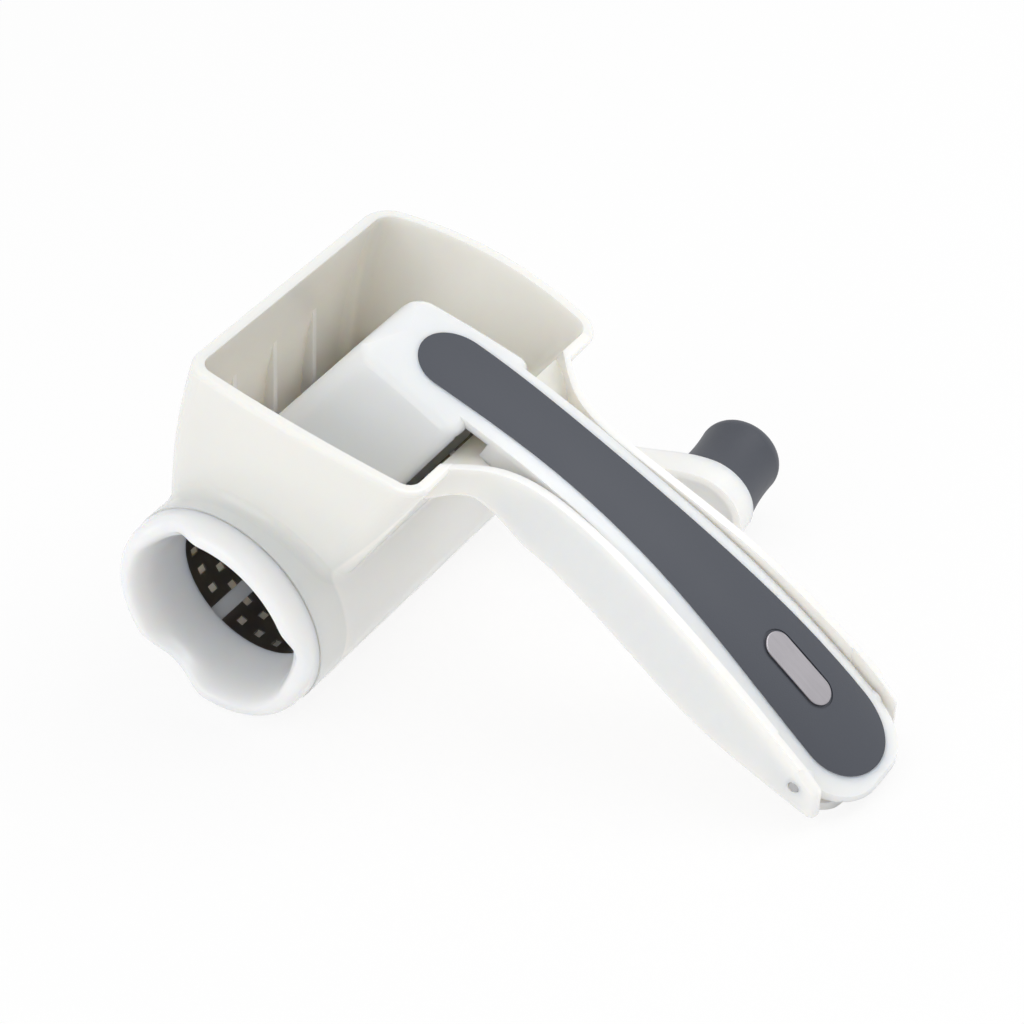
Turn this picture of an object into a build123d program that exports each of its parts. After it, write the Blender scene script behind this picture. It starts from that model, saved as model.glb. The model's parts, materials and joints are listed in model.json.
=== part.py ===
from build123d import *
from math import asin, atan2, cos, degrees, hypot, radians, sin, sqrt, tan
import os

# Rotary cheese grater: a moulded hopper over a barrel, a two-piece squeeze handle and a
# cranked grating drum. Sizes are in millimetres and degrees. Reaches (x) and heights (z) are
# taken from the drum's axis with the hopper rim level; the finished grater lies tilted, on
# the underside of its barrel and the tip of its handle.

# Barrel and the drum that turns in it
barrel_radius = 29.0
barrel_half_length = 44.0
barrel_wall = 2.8
running_clearance = 0.06
end_gap = 0.4

# Hopper
wall = 3.0
hopper_step = 3.5
rim_left_z = 65.8
rim_right_x = 53.0
rim_right_z = 58.0
rim_rise = 2.9
hopper_foot_z = 8.0
hopper_foot_x = 22.5
hopper_draft = 9.0
hopper_flare = -3.5
flank_left_x = -30.0
flank_mid_x = 22.0
flank_right_x = 66.0
flank_left_w = 35.0
flank_mid_w = 42.5
flank_right_w = 37.4
hopper_corner = 7.0
rim_round = 1.1
blend_radius = 3.0
fin_count = 3
fin_pitch = 16.0
fin_thickness = 1.4
fin_depth = 4.0
fin_top_z = 46.0

# Hinge pin at the far end of the handle
pin_x = 145.5
pin_z = 5.1
pin_radius = 1.5
pin_recess = 0.3

# Lower handle, an open channel
channel_wall = 2.2
channel_floor = 3.0
channel_waist_x = 76.0
channel_waist_w = 14.5
channel_mid_x = 110.0
channel_mid_w = 17.0
channel_end_x = 151.8
channel_end_w = 19.4
flare_x = 46.0
flare_w = 31.0
flare_mid_x = 60.0
flare_mid_w = 18.3
flare_slope = -0.75
channel_mid_z = 36.0
channel_end_z = 11.0
channel_end_cut = 4.5
channel_end_round = 2.0
handle_overlap = 9.0
handle_overlap_rise = 1.9
arch_x = 53.5
arch_z = 49.5
arch_drop = 1.0
arch_round = 6.0
root_x = 66.0
root_z = 34.2
root_round = 14.0
belly_x = 117.0
belly_z = 6.4
belly_round = 120.0
heel_z = -3.6
underside_round = 1.8
tongue_end_x = 153.5
tongue_top_z = -2.8
tongue_thickness = 2.2
tongue_corner = 12.5
slot_start_x = 139.0

# Press handle and its pusher
press_gap = 0.45
press_end_x = 158.8
press_end_corner = 13.0
press_wall = 1.9
press_skin = 2.4
press_top_x = 34.0
press_top_z = 66.9
press_top_slope = 13.5
press_arc_radius = 290.0
press_crown_radius = 40.0
press_cavity_x = 50.0
press_root_x = 34.0
press_front_edge_z = 53.5
press_rear_edge_z = 8.5
press_tail_edge_z = -0.6
lug_radius = 3.4
lug_inner_y = 12.6
lug_length = 3.5
pin_clearance = 0.05
pusher_crown_w = 10.6
pusher_crown_z = 72.9
pusher_front_x = 19.37
pusher_back_x = 57.98
pusher_edge_round = 4.0
nose_round = 9.0
pusher_foot_z = 24.0
pusher_toe_z = 12.0
pusher_foot_left_x = -16.0
pusher_foot_right_x = 26.5
pusher_toe_right_x = 19.2
pusher_gap = 1.3
pusher_corner = 6.0
pusher_wall = 2.2
pusher_sole_gap = 1.4

# Grip inlay and badge plate
inlay_thickness = 1.2
inlay_front_x = 27.5
inlay_front_w = 8.8
inlay_waist_x = 70.0
inlay_waist_w = 8.1
inlay_middle_x = 108.0
inlay_middle_w = 9.8
inlay_wide_x = 145.5
inlay_wide_w = 12.5
inlay_end_x = 157.0
badge_x = 134.0
badge_length = 21.0
badge_width = 7.5
badge_margin = 0.7
badge_depth = 0.6
badge_thickness = 0.8

# Drum
sleeve_gap = 0.8
sleeve_thickness = 0.5
sleeve_inset = 7.5
sleeve_margin = 4.0
hole_rows = 13
holes_around = 28
hole_length = 2.4
hole_width = 2.0
ring_flange_step = 0.3
ring_flange_length = 2.2
ring_lip_length = 5.2
ring_crest_step = 4.2
mouth_step = 6.1
throat_step = 8.3
spigot_length = 2.5
seat_clearance = 0.05
seam_rib_width = 4.0
seam_rib_depth = 2.0
seam_rib_angle = -125.0
seam_rib_gap = 0.8
scallop_count = 3
scallop_angle = -1.0
scallop_radius = 11.0
scallop_depth = 3.6
hub_boss_radius = 11.0
hub_boss_length = 12.7
hub_face_inset = 0.3
hub_web = 3.6
hub_rim = 2.6
hub_rib_count = 6
hub_rib_thickness = 1.6
drive_flats = 13.0
drive_clearance = 0.15
drive_length = 14.0

# Crank and knob
crank_radius = 75.4
crank_slope = 6.0
crank_thickness = 7.5
crank_boss_radius = 12.2
crank_neck_half = 7.5
crank_neck_x = 54.0
crank_root_half = 10.5
crank_wall = 2.2
crank_web = 2.6
crank_flange_step = 1.0
crank_flange = 4.0
crank_rise = 0.3
knob_length = 22.0
knob_base_radius = 11.8
knob_waist_radius = 10.8
knob_end_radius = 11.0
knob_round = 5.0
knob_gap = 0.3
post_radius = 3.2
post_length = 15.0

# Lengths of cutting blocks, and how near an edge lies to the face that it is picked by
far = 100.0
rim_clear = 12.0
crown_reach = 35.2
on_face = 0.01
near_crown = 0.3
least_edge = 2.0
off_middle = 1.0
keel_lead = 4.0
keel_end = 1.0
keel_depth = 6.0
upright = 0.9

# Sizes that follow from the barrel's
bore_radius = barrel_radius - barrel_wall
hopper_reach = pin_x + barrel_radius - hopper_step
sleeve_radius = bore_radius - sleeve_gap
sleeve_half_length = barrel_half_length - sleeve_inset
pusher_sole_radius = sleeve_radius + pusher_sole_gap
flange_y = barrel_half_length + end_gap
ring_flange_radius = barrel_radius - ring_flange_step
ring_shoulder_y = flange_y + ring_flange_length
ring_end_y = ring_shoulder_y + ring_lip_length
ring_crest_radius = barrel_radius - ring_crest_step
mouth_radius = barrel_radius - mouth_step
throat_radius = barrel_radius - throat_step
hub_face_y = barrel_half_length - hub_face_inset
hub_boss_end_y = hub_face_y - hub_boss_length
crank_flange_radius = barrel_radius - crank_flange_step

# The tilt at which barrel and handle tip both touch the table
tip_radius = tongue_thickness / 2
tip_x = tongue_end_x - tip_radius
tip_z = tongue_top_z - tip_radius
rest_tilt = degrees(asin((barrel_radius - tip_radius) / hypot(tip_x, tip_z)) + atan2(tip_z, tip_x))
along = Vector(cos(radians(rest_tilt)), 0, -sin(radians(rest_tilt)))
upward = Vector(sin(radians(rest_tilt)), 0, cos(radians(rest_tilt)))
drum_centre = Vector(0, 0, barrel_radius)
side = Plane(origin=drum_centre, x_dir=along, z_dir=(0, -1, 0))
plan = Plane(origin=drum_centre, x_dir=along, z_dir=upward)
drum_axis = Axis(drum_centre, (0, 1, 0))
drum_section = Plane(origin=drum_centre, x_dir=(0, 1, 0), z_dir=(1, 0, 0))
barrel_plane = Plane(origin=drum_centre, x_dir=(0, 0, -1), z_dir=(0, 1, 0))
inner_reach = hopper_reach - wall


def place(x, y, z):
    """Point of the grater, given by reach, offset from the middle plane and height."""
    return drum_centre + along * x + Vector(0, y, 0) + upward * z


def axis_distance(point):
    """Distance of a point from the drum's axis."""
    return hypot(point.X, point.Z - barrel_radius)


pin_plane = Plane(origin=place(pin_x, 0, pin_z), x_dir=(1, 0, 0), z_dir=(0, 1, 0))
pin_half_length = channel_end_w - pin_recess


def reach_of(point):
    """Reach of a point from the drum's axis, along the handle."""
    return (point - drum_centre).dot(along)


def height_of(point):
    """Height of a point over the drum's axis, square to the hopper rim."""
    return (point - drum_centre).dot(upward)


def flank_half_width(index, height, inset):
    """Half-width of the drafted hopper at one of its three plan stations."""
    at_rim = (flank_left_w, flank_mid_w, flank_right_w)[index]
    draft = (hopper_flare, hopper_draft, hopper_draft)[index]
    drawn_in = (rim_left_z - height) * tan(radians(draft))
    return at_rim - drawn_in - inset / cos(radians(hopper_draft))


def left_wall_x(height, reach):
    """The hopper's front wall follows the pusher's swing about the hinge pin."""
    return pin_x - sqrt(reach ** 2 - (height - pin_z) ** 2)


def flank_sketch(height, inset):
    """Plan of the two bowed hopper flanks at one height."""
    left_w = flank_half_width(0, height, inset)
    mid_w = flank_half_width(1, height, inset)
    right_w = flank_half_width(2, height, inset)
    with BuildSketch(plan.offset(height)) as sketch:
        with BuildLine():
            ThreePointArc((flank_left_x, left_w), (flank_mid_x, mid_w), (flank_right_x, right_w))
            Line((flank_right_x, right_w), (flank_right_x, -right_w))
            ThreePointArc((flank_right_x, -right_w), (flank_mid_x, -mid_w), (flank_left_x, -left_w))
            Line((flank_left_x, -left_w), (flank_left_x, left_w))
        make_face()
    return sketch.sketch


def rim_edge(edge):
    """Whether an edge of the hopper's block bounds its rim."""
    middle = edge @ 0.5
    share = (reach_of(middle) - rim_right_x) / (left_wall_x(rim_left_z, hopper_reach) - rim_right_x)
    rim_line = rim_right_z + share * (rim_left_z - rim_right_z)
    return height_of(middle) > rim_line - rim_round


def hopper_form(inset, lift):
    """The hopper's block, every wall drawn in by inset and the rim raised by lift."""
    reach = hopper_reach - inset
    lean = (rim_right_x - hopper_foot_x) / (rim_right_z - hopper_foot_z)
    shift = inset * sqrt(1 + lean ** 2)
    rim_z = rim_left_z + lift
    middle_z = (rim_z + hopper_foot_z) / 2
    rim_left = (left_wall_x(rim_z, reach), rim_z)
    rim_right = (rim_right_x - shift + lift * lean, rim_right_z + lift)
    crest = ((rim_left[0] + rim_right[0]) / 2, (rim_left[1] + rim_right[1]) / 2 + rim_rise)
    foot_right = (hopper_foot_x - shift, hopper_foot_z)
    foot_left = (left_wall_x(hopper_foot_z, reach), hopper_foot_z)
    with BuildPart() as form:
        with BuildSketch(side):
            with BuildLine():
                ThreePointArc(rim_left, crest, rim_right)
                Line(rim_right, foot_right)
                Line(foot_right, foot_left)
                ThreePointArc(foot_left, (left_wall_x(middle_z, reach), middle_z), rim_left)
            make_face()
        extrude(amount=far, both=True)
        flanks = [flank_sketch(0, inset).face(), flank_sketch(rim_z + wall, inset).face()]
        loft(flanks, mode=Mode.INTERSECT)
        corners = form.edges().filter_by(lambda e: abs((e @ 1 - e @ 0).dot(upward)) > rim_left_z / 2)
        fillet(corners, hopper_corner - inset)
        if inset == 0:
            fillet(form.edges().filter_by(rim_edge), rim_round)
    return form.part


def channel_curve(inset):
    """Half plan of the lower handle from its waist to past its end."""
    return Spline(
        (channel_waist_x, channel_waist_w - inset),
        (channel_mid_x, channel_mid_w - inset),
        (channel_end_x, channel_end_w - inset),
        (channel_end_x + far, channel_end_w - inset),
        tangents=((1, 0), (1, 0)),
        tangent_scalars=(1, 1),
    )


def under_handle(point):
    """Whether a point lies on the lower handle's underside."""
    x = reach_of(point)
    line = belly_z + (root_z - belly_z) * (belly_x - x) / (belly_x - root_x)
    return root_x - keel_lead < x < channel_end_x - keel_end and height_of(point) < line + keel_depth


def handle_form(inset, lift):
    """The lower handle's block, drawn in by inset, its floor and top raised to suit."""
    rise = inset * channel_floor / channel_wall
    root_start = (flare_x, flare_w - inset)
    top_start = (rim_right_x - handle_overlap, rim_right_z + handle_overlap_rise + lift)
    top_bend = (rim_right_x, rim_right_z + lift)
    top_end = (channel_end_x - channel_end_cut, channel_end_z + lift)
    with BuildPart() as form:
        with BuildSketch(side):
            with BuildLine():
                Line(top_start, top_bend)
                ThreePointArc(top_bend, (channel_mid_x, channel_mid_z + lift), top_end)
                FilletPolyline(
                    top_end,
                    (channel_end_x + lift, channel_end_z - channel_end_cut + lift),
                    (channel_end_x + lift, heel_z + rise),
                    (belly_x, belly_z + rise),
                    (root_x, root_z + rise),
                    (arch_x, arch_z + rise),
                    (rim_right_x - handle_overlap, arch_z - arch_drop + rise),
                    top_start,
                    radius=(channel_end_round, channel_end_round, belly_round, root_round, arch_round, 0),
                )
            make_face()
        extrude(amount=far, both=True)
        with BuildSketch(plan.offset(-far)):
            with BuildLine():
                curve = channel_curve(inset)
                Spline(
                    root_start,
                    (flare_mid_x, flare_mid_w - inset),
                    curve @ 0,
                    tangents=((1, flare_slope), (1, 0)),
                    tangent_scalars=(1, 1),
                )
                Polyline(curve @ 1, ((curve @ 1).X, 0), (0, 0), (0, root_start[1]), root_start)
            make_face()
            mirror(about=Plane.XZ)
        extrude(amount=2 * far, mode=Mode.INTERSECT)
        if inset == 0:
            keel = form.edges().filter_by(lambda e: abs((e @ 0.5).Y) > off_middle)
            keel = keel.filter_by(lambda e: under_handle(e @ 0.5))
            fillet(keel, underside_round)
    return form.part


hopper_block = hopper_form(0, 0)
hopper_space = hopper_form(wall, rim_clear)
handle_block = handle_form(0, 0)
handle_space = handle_form(channel_wall, rim_clear)
floor_slope = (heel_z - belly_z) / (channel_end_x - belly_x)
tongue_root_z = belly_z + floor_slope * (slot_start_x - belly_x) + tongue_thickness / 2
tongue_middle = ((slot_start_x + tip_x) / 2, (tongue_root_z + tip_z) / 2)
channel_end_inner = channel_end_w - channel_wall
tongue_half_width = channel_end_inner + channel_wall / 4


# The tongue past the hinge, round in plan and round at its lip, which the handle rests on
with BuildPart() as tongue:
    with BuildSketch(side):
        SlotCenterPoint(tongue_middle, (tip_x, tip_z), tongue_thickness)
    extrude(amount=tongue_half_width, both=True)
    with BuildSketch(plan.offset(-far)):
        with Locations((tongue_end_x - far / 2, 0)):
            RectangleRounded(far, 2 * tongue_half_width, tongue_corner)
    extrude(amount=2 * far, mode=Mode.INTERSECT)

# Body: hopper, barrel and lower handle in one moulding
with BuildPart() as body:
    add(hopper_block)
    with Locations(barrel_plane):
        Cylinder(barrel_radius, 2 * barrel_half_length)
    joins = body.edges().filter_by(lambda e: abs(axis_distance(e @ 0.5) - barrel_radius) < on_face)
    joins = joins.filter_by(lambda e: height_of(e @ 0.5) > 0 and abs((e @ 0.5).Y) < barrel_half_length)
    fillet(joins, blend_radius)
    add(handle_block)
    add(hopper_space, mode=Mode.SUBTRACT)
    add(handle_space, mode=Mode.SUBTRACT)
    for index in range(fin_count):
        fin_y = (index - (fin_count - 1) / 2) * fin_pitch
        with BuildSketch(side.offset(-fin_y)):
            with BuildLine():
                Polyline(
                    (left_wall_x(fin_top_z, inner_reach) - wall / 2, fin_top_z + wall / 2),
                    (left_wall_x(fin_top_z, inner_reach), fin_top_z),
                    (left_wall_x(hopper_foot_z, inner_reach - fin_depth), hopper_foot_z),
                    (left_wall_x(hopper_foot_z, inner_reach) - wall / 2, hopper_foot_z),
                    close=True,
                )
            make_face()
        extrude(amount=fin_thickness / 2, both=True)
    with Locations(barrel_plane):
        Cylinder(bore_radius, 2 * barrel_half_length, mode=Mode.SUBTRACT)
    with BuildSketch(side):
        with Locations((slot_start_x + far / 2, 0)):
            Rectangle(far, far)
    extrude(amount=channel_end_inner, both=True, mode=Mode.SUBTRACT)
    add(tongue.part)
    with Locations(pin_plane):
        Cylinder(pin_radius, 2 * far, mode=Mode.SUBTRACT)
body.part.label = "body"

# Hinge pin: a plain steel pin through both side walls of the lower handle
with BuildPart() as hinge_pin:
    with Locations(pin_plane):
        Cylinder(pin_radius, 2 * pin_half_length)
    chamfer(hinge_pin.edges().filter_by(GeomType.CIRCLE), pin_radius / 5)
hinge_pin.part.label = "hinge_pin"

press_centre_x = press_top_x - press_arc_radius * sin(radians(press_top_slope))
press_centre_z = press_top_z - press_arc_radius * cos(radians(press_top_slope))
press_centre = place(press_centre_x, 0, press_centre_z)
press_sweep = degrees(asin((press_end_x + wall - press_centre_x) / press_arc_radius))


def crown_form(depth):
    """Everything under the press handle's crowned top, lowered by depth."""
    top_radius = press_arc_radius - depth
    crown_radius = press_crown_radius - depth
    sag = crown_radius - sqrt(crown_radius ** 2 - crown_reach ** 2)
    with BuildPart() as form:
        with BuildSketch(Plane(origin=press_centre, x_dir=(0, 1, 0), z_dir=along)):
            with BuildLine():
                crown = ThreePointArc(
                    (-crown_reach, top_radius - sag), (0, top_radius), (crown_reach, top_radius - sag)
                )
                Polyline(
                    crown @ 1,
                    (crown_reach, top_radius - far),
                    (-crown_reach, top_radius - far),
                    crown @ 0,
                )
            make_face()
        revolve(axis=Axis(press_centre, (0, 1, 0)), revolution_arc=press_sweep)
    return form.part


def crown_edge(edge):
    """Whether an edge runs along one side of the crowned top."""
    middle = edge @ 0.5
    over_centre = middle - press_centre
    sag = press_crown_radius - sqrt(press_crown_radius ** 2 - middle.Y ** 2)
    crown_gap = press_arc_radius - sag - hypot(over_centre.X, over_centre.Z)
    return abs(crown_gap) < near_crown and abs(middle.Y) > inlay_front_w and edge.length > least_edge


def press_form(inset, depth, start_x):
    """The press handle's block from start_x to its tail, sides and top drawn in."""
    end_x = press_end_x - inset
    with BuildPart() as form:
        with BuildSketch(plan.offset(-far)):
            with BuildLine():
                curve = channel_curve(channel_wall + press_gap + inset)
                Polyline(curve @ 1, ((curve @ 1).X, 0), (0, 0), (0, (curve @ 0).Y), curve @ 0)
            make_face()
            mirror(about=Plane.XZ)
            with Locations(((start_x + end_x) / 2, 0)):
                Rectangle(end_x - start_x, far, mode=Mode.INTERSECT)
        extrude(amount=2 * far)
        tail = form.edges().filter_by(lambda e: abs(reach_of(e @ 0.5) - end_x) < on_face)
        fillet(tail.filter_by(lambda e: abs((e % 0.5).dot(upward)) > upright), press_end_corner - inset)
        add(crown_form(depth), mode=Mode.INTERSECT)
    return form.part


def flank_at(x, height):
    """Half-width of the hopper's inner flank at one reach and height."""
    stations = (flank_left_x, flank_mid_x, flank_right_x)
    total = 0
    for index, station in enumerate(stations):
        others = [other for other in stations if other != station]
        share = (x - others[0]) * (x - others[1]) / ((station - others[0]) * (station - others[1]))
        total += share * flank_half_width(index, height, wall)
    return total


def pusher_section(height, left, right, left_w, right_w):
    """Rounded four-sided plan of the pusher at one height."""
    with BuildSketch(plan.offset(height)) as sketch:
        with BuildLine():
            Polyline((left, left_w), (right, right_w), (right, -right_w), (left, -left_w), close=True)
        make_face()
        fillet(sketch.vertices(), pusher_corner)
    return sketch.sketch.face()


def nose_form(inset):
    """Side view of the pusher: the crowned top rounded into the sloping front."""
    lean = (pusher_front_x - pusher_foot_left_x) / (pusher_crown_z - pusher_foot_z)
    foot_left = pusher_foot_left_x + inset
    peak_x = foot_left + lean * far
    with BuildPart() as form:
        with BuildSketch(side) as outline:
            with Locations((press_centre_x, press_centre_z)):
                Circle(press_arc_radius - inset)
            with BuildLine():
                Polyline(
                    (foot_left, pusher_foot_z),
                    (peak_x, pusher_foot_z + far),
                    (peak_x + far, pusher_foot_z + far),
                    (peak_x + far, -far),
                    (foot_left, -far),
                    close=True,
                )
            make_face(mode=Mode.INTERSECT)
            fillet(outline.vertices().sort_by(Axis.Y)[-1], nose_round - inset)
        extrude(amount=far, both=True)
    return form.part


def pusher_form(inset, back):
    """The pusher's block, its walls drawn in by inset and its back moved out by back."""
    foot_left = pusher_foot_left_x + inset
    foot_left_w = flank_at(pusher_foot_left_x, pusher_foot_z) - pusher_gap - inset
    foot_right_w = flank_at(pusher_foot_right_x, pusher_foot_z) - pusher_gap - inset
    toe_left_w = flank_at(pusher_foot_left_x, pusher_toe_z) - pusher_gap - inset
    toe_right_w = flank_at(pusher_toe_right_x, pusher_toe_z) - pusher_gap - inset
    crown_w = pusher_crown_w - inset
    crown = pusher_section(pusher_crown_z, pusher_front_x + inset, pusher_back_x + back, crown_w, crown_w)
    foot = pusher_section(pusher_foot_z, foot_left, pusher_foot_right_x + back, foot_left_w, foot_right_w)
    toe = pusher_section(pusher_toe_z, foot_left, pusher_toe_right_x + back, toe_left_w, toe_right_w)
    with BuildPart() as form:
        loft([crown, foot], ruled=True)
        add(nose_form(inset), mode=Mode.INTERSECT)
        add(crown_form(inset), mode=Mode.INTERSECT)
        if inset == 0:
            fillet(form.edges().filter_by(crown_edge), pusher_edge_round)
        loft([foot, toe], ruled=True)
        with Locations(barrel_plane):
            Cylinder(pusher_sole_radius + inset, 2 * far, mode=Mode.SUBTRACT)
    return form.part


def inlay_form(top, floor):
    """The grip inlay's plan between two depths under the crowned top."""
    front_end = (inlay_front_x + inlay_front_w, inlay_front_w)
    widest = (inlay_wide_x, inlay_wide_w)
    with BuildPart() as form:
        with BuildSketch(plan.offset(-far)):
            with BuildLine():
                CenterArc((front_end[0], 0), inlay_front_w, 180, -90)
                Spline(
                    front_end,
                    (inlay_waist_x, inlay_waist_w),
                    (inlay_middle_x, inlay_middle_w),
                    widest,
                    tangents=((1, 0), (1, 0)),
                    tangent_scalars=(1, 1),
                )
                inlay_end_length = inlay_end_x - inlay_wide_x
                EllipticalCenterArc((inlay_wide_x, 0), inlay_end_length, inlay_wide_w, 0, arc_size=90)
                Line((inlay_end_x, 0), (inlay_front_x, 0))
            make_face()
            mirror(about=Plane.XZ)
        extrude(amount=2 * far)
        add(crown_form(top), mode=Mode.INTERSECT)
        add(crown_form(floor), mode=Mode.SUBTRACT)
    return form.part


inlay_block = inlay_form(0, inlay_thickness)
badge_slope = degrees(asin((badge_x - press_centre_x) / press_arc_radius))
badge_top_z = press_centre_z + press_arc_radius * cos(radians(badge_slope))
badge_out = upward * cos(radians(badge_slope)) + along * sin(radians(badge_slope))
badge_along = along * cos(radians(badge_slope)) - upward * sin(radians(badge_slope))
badge_plane = Plane(origin=place(badge_x, 0, badge_top_z), x_dir=badge_along, z_dir=badge_out)

# Press handle: an open shell over the lower handle, with the pusher at its front
with BuildPart() as press_handle:
    add(press_form(0, 0, press_root_x))
    add(press_form(press_wall, press_skin, press_cavity_x), mode=Mode.SUBTRACT)
    with BuildSketch(side):
        with BuildLine():
            Polyline(
                (press_root_x - far, press_front_edge_z),
                (press_cavity_x, press_front_edge_z),
                (slot_start_x, press_rear_edge_z),
                (pin_x, pin_z - lug_radius / 2),
                (press_end_x, press_tail_edge_z),
                (press_end_x + far, press_tail_edge_z),
                (press_end_x + far, -far),
                (press_root_x - far, -far),
                close=True,
            )
        make_face()
    extrude(amount=far, both=True, mode=Mode.SUBTRACT)
    for side_sign in (-1, 1):
        with BuildSketch(side.offset(side_sign * lug_inner_y)):
            with Locations((pin_x, pin_z)):
                Circle(lug_radius)
        extrude(amount=side_sign * lug_length)
    add(pusher_form(0, 0))
    add(pusher_form(pusher_wall, 3 * pusher_wall), mode=Mode.SUBTRACT)
    with Locations(pin_plane):
        Cylinder(pin_radius + pin_clearance, 2 * far, mode=Mode.SUBTRACT)
    add(inlay_block, mode=Mode.SUBTRACT)
press_handle.part.label = "press_handle"

# Grip inlay: the soft dark band let into the top of the press handle
with BuildPart() as grip_inlay:
    add(inlay_block)
    with BuildSketch(badge_plane.offset(-badge_depth)):
        SlotOverall(badge_length + 2 * badge_margin, badge_width + 2 * badge_margin)
    extrude(amount=wall, mode=Mode.SUBTRACT)
grip_inlay.part.label = "grip_inlay"

# Badge plate: a bare metal plate seated in the inlay
with BuildPart() as badge_plate:
    with BuildSketch(badge_plane.offset(-badge_depth)):
        SlotOverall(badge_length, badge_width)
    extrude(amount=badge_thickness)
    badge_top = badge_plate.faces().sort_by(Axis(badge_plane.origin, badge_out))[-1]
    fillet(badge_top.edges(), badge_thickness / 3)
badge_plate.part.label = "badge_plate"

journal_radius = bore_radius - running_clearance
sleeve_inner = sleeve_radius - sleeve_thickness
spigot_radius = sleeve_inner - seat_clearance
spigot_y = sleeve_half_length - spigot_length
seam_rib_end_y = spigot_y - spigot_length - seam_rib_gap


def drum_direction(angle):
    """Unit vector square to the drum's axis, by its angle from the handle's side."""
    return along * cos(radians(angle)) + upward * sin(radians(angle))


# Drum ring: the scalloped mouth of the drum, with the rib that covers the sleeve's seam
with BuildPart() as drum_ring:
    with BuildSketch(drum_section):
        with BuildLine():
            Polyline(
                (-spigot_y, throat_radius),
                (-spigot_y, spigot_radius),
                (-sleeve_half_length, spigot_radius),
                (-sleeve_half_length, journal_radius),
                (-flange_y, journal_radius),
                (-flange_y, ring_flange_radius),
                (-ring_shoulder_y, ring_flange_radius),
            )
            lip = TangentArc(
                (-ring_shoulder_y, ring_flange_radius), (-ring_end_y, ring_crest_radius), tangent=(-1, 0)
            )
            inner = TangentArc(lip @ 1, (-ring_shoulder_y, mouth_radius), tangent=lip % 1)
            Line(inner @ 1, (-spigot_y, throat_radius))
        make_face()
    revolve(axis=drum_axis)
    for index in range(scallop_count):
        direction = drum_direction(scallop_angle + index * 360 / scallop_count)
        scallop_centre = drum_centre + Vector(0, scallop_depth - ring_end_y - scallop_radius, 0)
        with BuildSketch(Plane(origin=scallop_centre, x_dir=(0, 1, 0), z_dir=direction)):
            Circle(scallop_radius)
        extrude(amount=ring_flange_radius + wall, mode=Mode.SUBTRACT)
    rib_direction = drum_direction(seam_rib_angle)
    rib_seat = drum_centre + rib_direction * sqrt(spigot_radius ** 2 - (seam_rib_width / 2) ** 2)
    with BuildSketch(Plane(origin=rib_seat, x_dir=(0, 1, 0), z_dir=rib_direction)):
        with Locations(((seam_rib_end_y - spigot_y) / 2, 0)):
            Rectangle(seam_rib_end_y + spigot_y, seam_rib_width)
    extrude(amount=-seam_rib_depth)
drum_ring.part.label = "drum_ring"

# Drum sleeve: perforated steel sheet rolled into a tube
with BuildPart() as drum_sleeve:
    with Locations(barrel_plane):
        Cylinder(sleeve_radius, 2 * sleeve_half_length)
        Cylinder(sleeve_inner, 2 * sleeve_half_length, mode=Mode.SUBTRACT)
    row_pitch = 2 * (sleeve_half_length - sleeve_margin) / (hole_rows - 1)
    hole_pitch = 360 / holes_around
    spots = []
    for row in range(hole_rows):
        for column in range(holes_around):
            angle = seam_rib_angle + (column + 0.5 + (row % 2) / 2) * hole_pitch
            if abs((angle - seam_rib_angle + 180) % 360 - 180) < hole_pitch / 4:
                continue
            direction = drum_direction(angle)
            spot = drum_centre + direction * sleeve_radius
            spot += Vector(0, row_pitch * row - sleeve_half_length + sleeve_margin, 0)
            spots.append(Plane(origin=spot, x_dir=(0, 1, 0), z_dir=direction))
    with Locations(*spots):
        Box(hole_length, hole_width, 4 * sleeve_thickness, mode=Mode.SUBTRACT)
drum_sleeve.part.label = "drum_sleeve"

# Drum hub: closes the sleeve's far end and takes the crank's hexagon
with BuildPart() as drum_hub:
    with BuildSketch(drum_section):
        with BuildLine():
            Polyline(
                (spigot_y - spigot_length, spigot_radius),
                (sleeve_half_length, spigot_radius),
                (sleeve_half_length, journal_radius),
                (hub_face_y, journal_radius),
                (hub_face_y, hub_boss_radius),
                (flange_y, hub_boss_radius),
                (flange_y, 0),
                (hub_boss_end_y, 0),
                (hub_boss_end_y, hub_boss_radius),
                (hub_face_y - hub_web, hub_boss_radius),
                (hub_face_y - hub_web, spigot_radius - hub_rim),
                (spigot_y - spigot_length, spigot_radius - hub_rim),
                close=True,
            )
        make_face()
    revolve(axis=drum_axis)
    rib_middle_y = (spigot_y + hub_face_y - hub_web / 2) / 2
    rib_middle_radius = (hub_boss_radius + spigot_radius - hub_rim) / 2
    hub_rib_reach = spigot_radius - hub_rim / 2 - hub_boss_radius
    for index in range(hub_rib_count):
        direction = drum_direction(index * 360 / hub_rib_count + 90)
        with BuildSketch(Plane(origin=drum_centre, x_dir=(0, 1, 0), z_dir=direction)):
            with Locations((rib_middle_y, -rib_middle_radius)):
                Rectangle(hub_face_y - hub_web / 2 - spigot_y, hub_rib_reach)
        extrude(amount=hub_rib_thickness / 2, both=True)
    with BuildSketch(Plane(origin=drum_centre, x_dir=along, z_dir=(0, 1, 0))):
        RegularPolygon(drive_flats / 2 + drive_clearance, 6, major_radius=False)
    extrude(amount=far, mode=Mode.SUBTRACT)
drum_hub.part.label = "drum_hub"

flange_plane = Plane(origin=drum_centre + Vector(0, flange_y, 0), x_dir=along, z_dir=(0, 1, 0))
arm_plane = Plane(
    origin=flange_plane.origin + Vector(0, crank_rise, 0),
    x_dir=along * cos(radians(crank_slope)) + Vector(0, sin(radians(crank_slope)), 0),
    z_dir=Vector(0, cos(radians(crank_slope)), 0) - along * sin(radians(crank_slope)),
)


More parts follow.
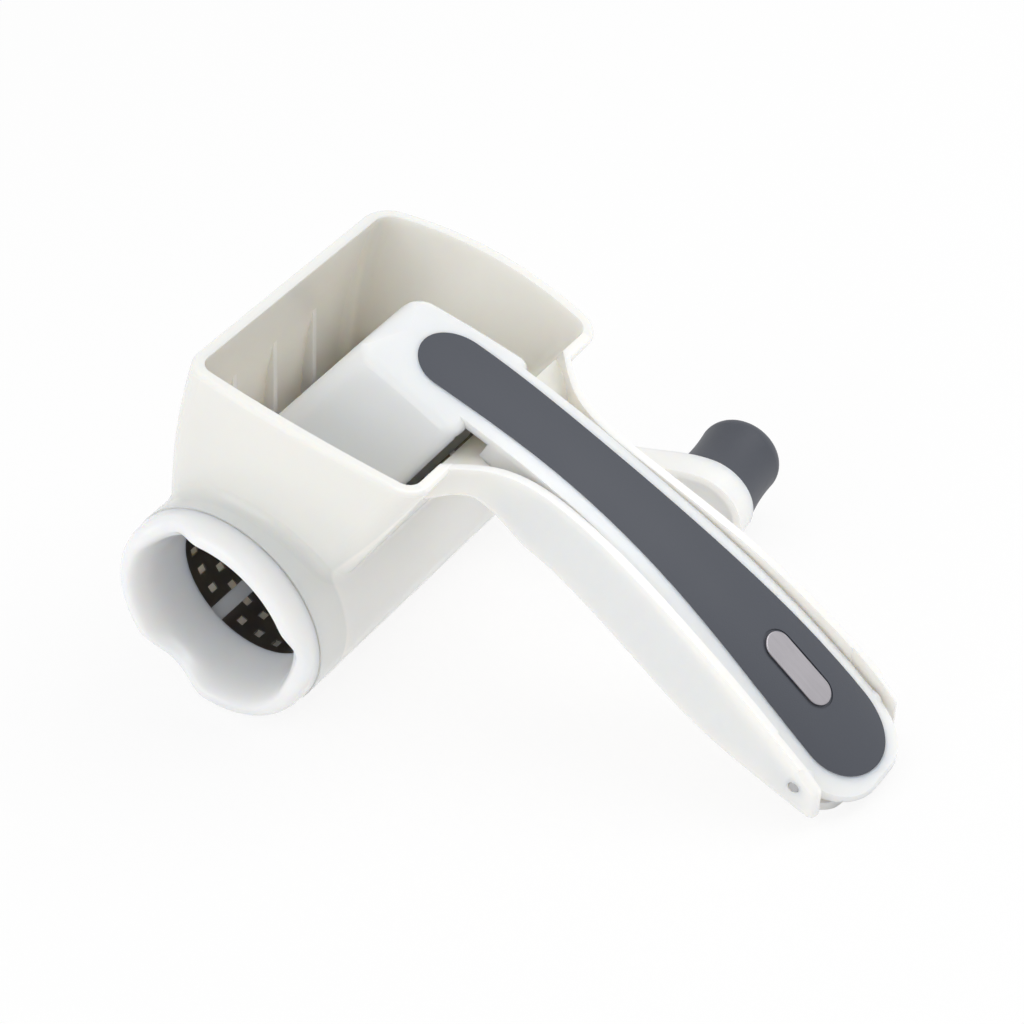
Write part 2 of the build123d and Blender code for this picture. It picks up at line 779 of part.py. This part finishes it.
def crank_plan(inset):
    """Plan of the crank's lever, drawn in by inset: waisted, and round at both ends."""
    root_half = crank_root_half - inset
    boss_half = crank_boss_radius - inset
    neck_half = crank_neck_half - inset
    with BuildSketch() as sketch:
        with BuildLine():
            Spline(
                (0, root_half),
                (crank_neck_x, neck_half),
                (crank_radius, boss_half),
                tangents=((1, 0), (1, 0)),
                tangent_scalars=(1, 1),
            )
            boss_tip = (crank_radius + boss_half, 0)
            ThreePointArc((crank_radius, boss_half), boss_tip, (crank_radius, -boss_half))
            Spline(
                (crank_radius, -boss_half),
                (crank_neck_x, -neck_half),
                (0, -root_half),
                tangents=((-1, 0), (-1, 0)),
                tangent_scalars=(1, 1),
            )
            ThreePointArc((0, -root_half), (-root_half, 0), (0, root_half))
        make_face()
    return sketch.sketch


# Crank arm: a hollow-backed lever with a flange over the barrel's end and a hexagonal drive
with BuildPart() as crank_arm:
    with BuildSketch(arm_plane):
        add(crank_plan(0))
    extrude(amount=crank_thickness)
    with BuildSketch(arm_plane):
        add(crank_plan(crank_wall))
    extrude(amount=crank_thickness - crank_web, mode=Mode.SUBTRACT)
    with BuildSketch(flange_plane):
        Circle(crank_flange_radius)
    extrude(amount=crank_flange)
    with BuildSketch(flange_plane):
        Circle(crank_root_half)
    extrude(amount=crank_thickness)
    with BuildSketch(flange_plane):
        Rectangle(4 * far, 4 * far)
    extrude(amount=-far, mode=Mode.SUBTRACT)
    with BuildSketch(flange_plane):
        RegularPolygon(drive_flats / 2, 6, major_radius=False)
    extrude(amount=-drive_length)
    with BuildSketch(arm_plane.offset(crank_thickness - crank_web)):
        with Locations((crank_radius, 0)):
            Circle(post_radius)
    extrude(amount=post_length + crank_web)
crank_arm.part.label = "crank_arm"

knob_plane = arm_plane.offset(crank_thickness)
knob_centre = knob_plane.origin + knob_plane.x_dir * crank_radius
knob_across = knob_plane.x_dir.cross(knob_plane.z_dir)
knob_bore = post_radius + running_clearance

# Crank knob: the soft grip that turns on the crank's post
with BuildPart() as crank_knob:
    with BuildSketch(Plane(origin=knob_centre, x_dir=knob_plane.x_dir, z_dir=knob_across)):
        with BuildLine():
            outline = Polyline(
                (knob_base_radius, knob_gap),
                (knob_bore, knob_gap),
                (knob_bore, post_length + knob_gap),
                (0, post_length + knob_gap),
                (0, knob_length),
                (knob_end_radius - knob_round, knob_length),
            )
            shoulder = RadiusArc(outline @ 1, (knob_end_radius, knob_length - knob_round), knob_round)
            Spline(shoulder @ 1, (knob_waist_radius, knob_length / 2), outline @ 0)
        make_face()
    revolve(axis=Axis(knob_centre, knob_plane.z_dir))
crank_knob.part.label = "crank_knob"

os.makedirs("parts", exist_ok=True)
pieces = (
    body,
    hinge_pin,
    press_handle,
    grip_inlay,
    badge_plate,
    drum_ring,
    drum_sleeve,
    drum_hub,
    crank_arm,
    crank_knob,
)
for piece in pieces:
    export_step(piece.part, f"parts/{piece.part.label}.step")
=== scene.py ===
import json
from math import atan2, cos, pi, radians

import bpy
from mathutils import Matrix, Vector


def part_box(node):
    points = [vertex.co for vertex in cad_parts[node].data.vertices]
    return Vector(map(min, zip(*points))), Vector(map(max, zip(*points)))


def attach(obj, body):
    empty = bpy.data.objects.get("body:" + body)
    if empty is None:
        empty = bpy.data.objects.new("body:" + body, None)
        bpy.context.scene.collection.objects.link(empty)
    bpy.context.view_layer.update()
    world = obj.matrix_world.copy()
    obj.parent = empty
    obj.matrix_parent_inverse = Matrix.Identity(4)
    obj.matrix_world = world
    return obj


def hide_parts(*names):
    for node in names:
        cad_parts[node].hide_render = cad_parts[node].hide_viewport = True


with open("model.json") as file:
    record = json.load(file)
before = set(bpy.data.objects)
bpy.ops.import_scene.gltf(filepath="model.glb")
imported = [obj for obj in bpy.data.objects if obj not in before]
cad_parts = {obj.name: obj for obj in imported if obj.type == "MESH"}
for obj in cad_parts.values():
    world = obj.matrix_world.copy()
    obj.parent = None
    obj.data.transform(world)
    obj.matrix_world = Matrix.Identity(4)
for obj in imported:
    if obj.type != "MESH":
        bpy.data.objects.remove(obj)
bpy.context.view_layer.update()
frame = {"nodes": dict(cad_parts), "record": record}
nodes = frame["nodes"]
joints = {joint["name"]: joint for joint in frame["record"]["behaviour"]["joints"]}

# Body: hopper, barrel and lower handle are one injection moulding in warm white plastic.
# The surface is polished, with the faint orange peel and flow marks of the mould, and the
# wall is thin enough to let a little warm light through. The inner face of the hopper's front
# wall is also painted paler and warmer, as painted light standing in for that light through the wall.


class Shade:
    """An output of a material's node tree. Arithmetic on it adds Math nodes."""

    def __init__(self, tree, socket=None):
        self.tree = tree
        self.socket = socket

    def node(self, kind, settings, inputs, output=0):
        """Adds a node: its settings first, then the values or links of its sockets."""
        made = self.tree.nodes.new(kind)
        for name, value in settings.items():
            setattr(made, name, value)
        for name, value in inputs.items():
            if isinstance(value, Shade):
                self.tree.links.new(value.socket, made.inputs[name])
            else:
                made.inputs[name].default_value = value
        return Shade(self.tree, made.outputs[output]) if made.outputs else None

    def noise(self, place, scale, detail):
        """Cloudy noise at a place, with its scale and its number of finer layers."""
        return self.node("ShaderNodeTexNoise", {}, {"Vector": place, "Scale": scale, "Detail": detail})

    def mix(self, share, first, second):
        """Goes from the first colour to the second. Each is a Shade, or red, green and blue."""
        first, second = (tone if isinstance(tone, Shade) else (*tone, 1.0) for tone in (first, second))
        inputs = {"Factor": share, "A": first, "B": second}
        return self.node("ShaderNodeMix", {"data_type": "RGBA"}, inputs, "Result")

    def math(self, operation, first, second):
        return self.node("ShaderNodeMath", {"operation": operation}, {0: first, 1: second})

    def __add__(self, other):
        return self.math("ADD", self, other)

    def __radd__(self, other):
        return self.math("ADD", other, self)

    def __sub__(self, other):
        return self.math("SUBTRACT", self, other)

    def __rsub__(self, other):
        return self.math("SUBTRACT", other, self)

    def __mul__(self, other):
        return self.math("MULTIPLY", self, other)

    def __rmul__(self, other):
        return self.math("MULTIPLY", other, self)

    def __pow__(self, other):
        return self.math("POWER", self, other)


def new_finish(name):
    """A material with no nodes yet, and a Shade to add them with."""
    material = bpy.data.materials.new(name)
    material.use_nodes = True
    material.node_tree.nodes.clear()
    return material, Shade(material.node_tree)


def close_finish(shade, surface):
    """Links the finished shader to the material's output."""
    shade.node("ShaderNodeOutputMaterial", {}, {"Surface": surface})


def painted_glow_mask(shade, place):
    """Painted light mask: 1 on the inner face of the hopper's front wall, which is curved about the hinge,
    and 0 outside.
    """
    wall_middle = 0.1695
    wall_fade = 0.001
    flank_width = 0.0335
    deep_height = 0.060
    rim_height = 0.096
    hinge_x, _, hinge_z = joints["press_hinge"]["pos_m"]
    x, y, z = (shade.node("ShaderNodeSeparateXYZ", {}, {"Vector": place}, part) for part in "XYZ")
    reach = ((x - hinge_x) ** 2.0 + (z - hinge_z) ** 2.0) ** 0.5
    limits = (
        (reach, wall_middle - wall_fade, wall_middle + wall_fade),
        ((y ** 2.0) ** 0.5, flank_width, flank_width + wall_fade),
        (z, deep_height, rim_height),
    )
    inside = 1.0
    for value, full, none in limits:
        inside = inside * shade.node(
            "ShaderNodeMapRange",
            {"interpolation_type": "SMOOTHSTEP"},
            {"Value": value, "From Min": full, "From Max": none, "To Min": 1.0, "To Max": 0.0},
        )
    return inside


def moulded_plastic(name, colour, shaded_colour, painted_glow_colour=None):
    """Polished moulded plastic, mottled very slightly between two near colours. Given a glow colour, it
    also paints the hopper's inner face paler and warmer, as painted light.
    """
    cloud_scale = 22.0
    flow_stretch = (30.0, 160.0, 160.0)
    peel_scale = 900.0
    grain_scale = 4200.0
    peel_depth = 0.00003
    light_depth = 0.005
    material, shade = new_finish(name)
    place = shade.node("ShaderNodeTexCoord", {}, {}, "Object")
    cloud = shade.noise(place, cloud_scale, 3.0)
    flow_place = shade.node("ShaderNodeMapping", {}, {"Vector": place, "Scale": flow_stretch})
    flow = shade.noise(flow_place, 1.0, 4.0)
    peel = shade.noise(place, peel_scale, 2.0)
    grain = shade.noise(place, grain_scale, 2.0)
    tone = shade.mix(0.7 * cloud + 0.3 * flow, colour, shaded_colour)
    # Painted light: the inner face of the hopper's front wall is painted paler and warmer, standing in for
    # light shining through the thin wall.
    if painted_glow_colour:
        tone = shade.mix(painted_glow_mask(shade, place), tone, painted_glow_colour)
    relief = shade.node(
        "ShaderNodeBump",
        {},
        {"Strength": 0.35, "Distance": peel_depth, "Height": 0.8 * peel + 0.2 * grain},
    )
    plastic = shade.node(
        "ShaderNodeBsdfPrincipled",
        {"subsurface_method": "RANDOM_WALK"},
        {
            "Base Color": tone,
            "Roughness": 0.17 + 0.08 * flow,
            "Normal": relief,
            "IOR": 1.49,
            "Subsurface Weight": 0.8,
            "Subsurface Radius": (1.0, 0.82, 0.62),
            "Subsurface Scale": light_depth,
            "Coat Weight": 0.12,
            "Coat Roughness": 0.08,
        },
    )
    close_finish(shade, plastic)
    return material


def dress(node, material):
    """Gives a solid of the frame its finish."""
    nodes[node].data.materials.clear()
    nodes[node].data.materials.append(material)


# The body's inner colour is painted light: a paler, warmer tint on the hopper's inner face for light
# shining through the wall.
body_white = moulded_plastic(
    "body_white_plastic", (0.835, 0.837, 0.81), (0.82, 0.818, 0.79), painted_glow_colour=(1.0, 0.95, 0.88)
)
dress("body", body_white)

# Press handle: the upper shell and its pusher, moulded in a warm white plastic like the body's.
# It turns on the hinge pin at the far end.
warm_white = moulded_plastic("warm_white_plastic", (0.91, 0.905, 0.88), (0.90, 0.89, 0.865))
dress("press_handle", warm_white)


# Hinge pin: a plain drawn steel pin, pressed through the lower handle's side walls.
# Its cut ends show fine turning marks.
def bare_metal(name, colour, roughness, streak):
    """Bare metal with fine streaks, stretched by the three scales of streak."""
    cloud_scale = 120.0
    streak_depth = 0.00002
    dark_share = 0.72
    material, shade = new_finish(name)
    place = shade.node("ShaderNodeTexCoord", {}, {}, "Object")
    drawn = shade.node("ShaderNodeMapping", {}, {"Vector": place, "Scale": streak})
    lines = shade.noise(drawn, 1.0, 5.0)
    cloud = shade.noise(place, cloud_scale, 3.0)
    dark = [dark_share * part for part in colour]
    tone = shade.mix(0.6 * lines + 0.4 * cloud, dark, colour)
    relief = shade.node("ShaderNodeBump", {}, {"Strength": 0.4, "Distance": streak_depth, "Height": lines})
    metal = shade.node(
        "ShaderNodeBsdfPrincipled",
        {},
        {"Base Color": tone, "Metallic": 1.0, "Roughness": roughness + 0.18 * lines, "Normal": relief},
    )
    close_finish(shade, metal)
    return material


dress("hinge_pin", bare_metal("pin_steel", (0.55, 0.55, 0.56), 0.25, (2500.0, 60.0, 2500.0)))


# Grip inlay: a soft dark grey elastomer moulded into the top of the press handle.
# It is matt, with a very fine pitted skin.
def soft_grip(name, colour):
    """Matt elastomer with a pitted skin, a little paler in random patches."""
    pit_scale = 2600.0
    skin_scale = 1500.0
    wear_scale = 38.0
    pit_depth = 0.00004
    pale_share = 1.18
    material, shade = new_finish(name)
    place = shade.node("ShaderNodeTexCoord", {}, {}, "Object")
    pits = shade.node("ShaderNodeTexVoronoi", {}, {"Vector": place, "Scale": pit_scale})
    skin = shade.noise(place, skin_scale, 4.0)
    wear = shade.noise(place, wear_scale, 5.0)
    pale = [pale_share * part for part in colour]
    tone = shade.mix(0.7 * wear + 0.3 * skin, colour, pale)
    relief = shade.node(
        "ShaderNodeBump",
        {},
        {"Strength": 0.5, "Distance": pit_depth, "Height": 0.6 * pits + 0.4 * skin},
    )
    rubber = shade.node(
        "ShaderNodeBsdfPrincipled",
        {},
        {
            "Base Color": tone,
            "Roughness": 0.5 + 0.16 * wear,
            "Normal": relief,
            "Sheen Weight": 0.08,
            "Sheen Roughness": 0.4,
        },
    )
    close_finish(shade, rubber)
    return material


dark_grip = soft_grip("dark_soft_grip", (0.055, 0.061, 0.077))
dress("grip_inlay", dark_grip)

# Badge plate: a small plain plate of satin metal, let into the inlay.
# It is brushed along its length.
dress("badge_plate", bare_metal("badge_satin", (0.52, 0.50, 0.53), 0.28, (160.0, 3800.0, 160.0)))

# Drum ring: the scalloped mouth of the drum, in a cooler white plastic than the body.
# Its lip rolls over into a smooth funnel, and it is moulded with the rib that covers the
# sleeve's seam.
cool_white = moulded_plastic("cool_white_plastic", (0.93, 0.94, 0.955), (0.91, 0.92, 0.94))
rest_tilt = radians(9.079)
seam_angle = radians(-125.0)
smooth_angle = radians(40.0)
drum_x, _, drum_z = joints["drum_spin"]["pos_m"]
drum_centre = Vector((drum_x, 0, drum_z))
spigot_end_y = -0.034
spigot_step_y = -0.0365
flange_y = -0.0444
lip_start_y = -0.0464
crest_y = -0.05191
throat_radius = 0.0207
spigot_radius = 0.02485
journal_radius = 0.02614
flange_radius = 0.0287
crest_radius = 0.0252
lip_pulls = ((-0.051, flange_radius), (crest_y, 0.0272))
funnel_pulls = ((crest_y, 0.0229), (-0.044, 0.0219))
lip_steps = 14
funnel_steps = 22
ring_steps = 180
scallop_angles = [radians(turn) for turn in (-1.0, 119.0, 239.0)]
scallop_half = radians(27.0)
scallop_depth = 0.0034
scallop_root_y = -0.0456
rib_size = (0.004, 0.0647, 0.002)
rib_middle = (0, -0.00165, 0.02377)
rib_round = 0.0003
least_gap = 0.000005


def bend(start, pulls, end, steps):
    """Points of a smooth bend, drawn towards two pulling points, without its end."""
    points = []
    for step in range(steps):
        share = step / steps
        rest = 1 - share
        weights = (rest ** 3, 3 * rest ** 2 * share, 3 * rest * share ** 2, share ** 3)
        corners = (start, *pulls, end)
        points.append([sum(w * corner[part] for w, corner in zip(weights, corners)) for part in (0, 1)])
    return points


def eased(share):
    """Goes from 0 to 1 with a level start and end."""
    return share * share * (3 - 2 * share)


def scallop_dip(y, angle):
    """How far the lip gives way at one place along the drum and one angle around it."""
    lift = eased(min(max((scallop_root_y - y) / (scallop_root_y - crest_y), 0), 1))
    dip = 0
    for middle in scallop_angles:
        away = abs((angle - middle + pi) % (2 * pi) - pi) / scallop_half
        if away < 1:
            dip += cos(away * pi / 2) ** 2 * scallop_depth * lift
    return dip


def join(pieces):
    """Makes one piece of several and keeps the first one's name."""
    bpy.ops.object.select_all(action="DESELECT")
    for piece in pieces:
        piece.select_set(True)
    bpy.context.view_layer.objects.active = pieces[0]
    bpy.ops.object.join()
    return bpy.context.object


ring_seat = [
    (spigot_end_y, throat_radius),
    (spigot_end_y, spigot_radius),
    (spigot_step_y, spigot_radius),
    (spigot_step_y, journal_radius),
    (flange_y, journal_radius),
    (flange_y, flange_radius),
]
crest = (crest_y, crest_radius)
lip = bend((lip_start_y, flange_radius), lip_pulls, crest, lip_steps)
funnel = bend(crest, funnel_pulls, ring_seat[0], funnel_steps)
outline = ring_seat + lip + funnel
bpy.ops.object.select_all(action="DESELECT")
bpy.ops.mesh.primitive_circle_add(vertices=len(outline), radius=flange_radius)
mouth_ring = bpy.context.object
mouth_ring.name = "mouth_ring"
for corner, (y, radius) in zip(mouth_ring.data.vertices, outline):
    corner.co = (drum_x, y, drum_z + radius)
bpy.ops.object.mode_set(mode="EDIT")
bpy.ops.mesh.select_all(action="SELECT")
bpy.ops.mesh.spin(steps=ring_steps, angle=2 * pi, center=drum_centre, axis=(0, 1, 0))
bpy.ops.mesh.select_all(action="SELECT")
bpy.ops.mesh.remove_doubles(threshold=least_gap)
bpy.ops.mesh.normals_make_consistent(inside=False)
bpy.ops.object.mode_set(mode="OBJECT")
for corner in mouth_ring.data.vertices:
    angle = atan2(corner.co.z - drum_z, corner.co.x - drum_x) + rest_tilt
    corner.co.y += scallop_dip(corner.co.y, angle)

bpy.ops.object.select_all(action="DESELECT")
bpy.ops.mesh.primitive_cube_add(size=1.0, scale=rib_size)
seam_rib = bpy.context.object
bpy.ops.object.transform_apply(location=False, rotation=False, scale=True)
bpy.ops.object.mode_set(mode="EDIT")
bpy.ops.mesh.bevel(offset=rib_round, segments=2, affect="EDGES")
bpy.ops.object.mode_set(mode="OBJECT")
seam_rib.data.transform(Matrix.Translation(rib_middle))
seam_rib.data.transform(Matrix.Rotation(pi / 2 - seam_angle + rest_tilt, 4, "Y"))
seam_rib.data.transform(Matrix.Translation(drum_centre))
mouth_ring = join([mouth_ring, seam_rib])
bpy.ops.object.shade_smooth_by_angle(angle=smooth_angle)
mouth_ring.data.materials.clear()
mouth_ring.data.materials.append(cool_white)
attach(mouth_ring, "drum")
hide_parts("drum_ring")

# Drum sleeve: punched stainless sheet rolled into a tube, brushed around the drum.
# The ring and the hub carry its two ends.
sleeve_steel = bare_metal("sleeve_steel", (0.42, 0.39, 0.37), 0.28, (300.0, 3000.0, 300.0))
dress("drum_sleeve", sleeve_steel)

# Grating teeth: the punch leaves a raised lip beside each hole of the sleeve, and the lips shave
# the cheese. They belong to the rolled sheet and turn with the drum.
tooth_size = (0.0012, 0.0021, 0.0009)
tooth_fall = 0.8 * tooth_size[2]
tooth_root = 0.0004
tooth_round = 0.00012
hole_half_width = 0.001
sheet_margin = 0.004
tooth_rows = 13
teeth_around = 28
sleeve_low, sleeve_high = (Vector(corner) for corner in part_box("drum_sleeve"))
sleeve_centre = (sleeve_low + sleeve_high) / 2
sleeve_radius = (sleeve_high.z - sleeve_low.z) / 2
row_pitch = (sleeve_high.y - sleeve_low.y - 2 * sheet_margin) / (tooth_rows - 1)
column_pitch = 2 * pi / teeth_around
seam_turn = 2 * pi - column_pitch / 4
tooth_back = hole_half_width + tooth_size[0] / 2
tooth_out = sleeve_radius - tooth_root + tooth_size[2] / 2
bpy.ops.object.select_all(action="DESELECT")
bpy.ops.mesh.primitive_cube_add(size=1.0, scale=tooth_size)
tooth = bpy.context.object
bpy.ops.object.transform_apply(location=False, rotation=False, scale=True)
bpy.ops.object.mode_set(mode="EDIT")
bpy.ops.mesh.select_all(action="DESELECT")
bpy.ops.object.mode_set(mode="OBJECT")
for corner in tooth.data.vertices:
    corner.select = corner.co.x > 0 and corner.co.z > 0
bpy.ops.object.mode_set(mode="EDIT")
bpy.ops.mesh.select_mode(type="VERT")
bpy.ops.transform.translate(value=(0, 0, -tooth_fall))
bpy.ops.mesh.select_all(action="SELECT")
bpy.ops.mesh.bevel(offset=tooth_round, segments=1, affect="EDGES")
bpy.ops.object.mode_set(mode="OBJECT")
teeth = []
for row in range(tooth_rows):
    tooth_y = sleeve_low.y + sheet_margin + row * row_pitch
    for column in range(teeth_around):
        turn = (column + 0.5 + (row % 2) / 2) * column_pitch
        if turn > seam_turn:
            continue
        tooth_mesh = tooth.data.copy()
        tooth_mesh.transform(Matrix.Translation((tooth_back, tooth_y, tooth_out)))
        tooth_mesh.transform(Matrix.Rotation(pi / 2 - seam_angle - turn + rest_tilt, 4, "Y"))
        tooth_mesh.transform(Matrix.Translation((sleeve_centre.x, 0, sleeve_centre.z)))
        copy = bpy.data.objects.new("tooth", tooth_mesh)
        bpy.context.scene.collection.objects.link(copy)
        teeth.append(copy)
bpy.data.objects.remove(tooth)
grating_teeth = join(teeth)
grating_teeth.name = "grating_teeth"
grating_teeth.data.materials.append(sleeve_steel)
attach(grating_teeth, "drum")

# Drum hub: closes the drum's far end and takes the crank's hexagon.
# It is moulded in the ring's plastic, with six ribs behind its face.
dress("drum_hub", cool_white)

# Crank arm: a hollow-backed lever in the warm white plastic, with a flange over the barrel's end.
# Its hexagon plugs into the hub, and a post carries the knob.
dress("crank_arm", warm_white)

# Crank knob: a waisted grip in the inlay's soft dark elastomer.
# It turns freely on the crank's post.
dress("crank_knob", dark_grip)

# Floor: a plain pale ground that the camera sees as nearly white.
# The object's soft shadow stays on it.
floor_width = 8.0
floor_glow = 0.88
bpy.ops.object.select_all(action="DESELECT")
bpy.ops.mesh.primitive_plane_add(size=floor_width)
floor = bpy.context.object
floor.name = "floor"
pale_floor, shade = new_finish("pale_floor")
seen, mirrored, through = (
    shade.node("ShaderNodeLightPath", {}, {}, f"Is {ray} Ray")
    for ray in ("Camera", "Glossy", "Transmission")
)
matt = shade.node("ShaderNodeBsdfDiffuse", {}, {"Color": (0.9, 0.9, 0.9, 1.0)})
glow = shade.node("ShaderNodeEmission", {}, {"Color": (1.0, 1.0, 1.0, 1.0), "Strength": 1.0})
glow_share = floor_glow * (seen + mirrored + through)
close_finish(shade, shade.node("ShaderNodeMixShader", {}, {0: glow_share, 1: matt, 2: glow}))
floor.data.materials.append(pale_floor)

# Light: a white room, with a broad soft lamp behind the handle and a weaker one in front.
# The room gives most of the light, so that the hopper's inside stays bright.
room_light = 0.74
seen_light = 1.0
room = bpy.data.worlds.new("white_room")
bpy.context.scene.world = room
room.use_nodes = True
room.node_tree.nodes.clear()
shade = Shade(room.node_tree)
seen = shade.node("ShaderNodeLightPath", {}, {}, "Is Camera Ray")
strength = room_light + (seen_light - room_light) * seen
sky = shade.node("ShaderNodeBackground", {}, {"Color": (1.0, 1.0, 1.0, 1.0), "Strength": strength})
shade.node("ShaderNodeOutputWorld", {}, {"Surface": sky})


def soft_lamp(name, place, turn, size, power):
    """A square area lamp, turned by three angles in degrees."""
    lamp = bpy.data.lights.new(name, "AREA")
    lamp.size = size
    lamp.energy = power
    holder = bpy.data.objects.new(name, lamp)
    holder.location = place
    holder.rotation_euler = [radians(angle) for angle in turn]
    bpy.context.scene.collection.objects.link(holder)


soft_lamp("key_lamp", place=(0.45, 0.35, 0.8), turn=(37.2, 0.0, 129.8), size=0.6, power=3.2)
soft_lamp("front_lamp", place=(-0.25, -0.75, 0.4), turn=(65.6, 0.0, -21.2), size=0.6, power=1.5)

# Camera: stands where the photograph was taken from, above the handle's end.
# A long lens keeps the hopper's sides nearly parallel.
camera_place = (0.44726, -0.47722, 0.50562)
camera_turn = (53.141, 6.102, 34.709)
lens = bpy.data.cameras.new("camera")
lens.sensor_width = 36.0
lens.lens = 112.53
lens.clip_start = 0.05
lens.clip_end = 20.0
camera = bpy.data.objects.new("camera", lens)
camera.location = camera_place
camera.rotation_euler = [radians(angle) for angle in camera_turn]
bpy.context.scene.collection.objects.link(camera)
bpy.context.scene.camera = camera
bpy.context.scene.view_settings.view_transform = "Standard"
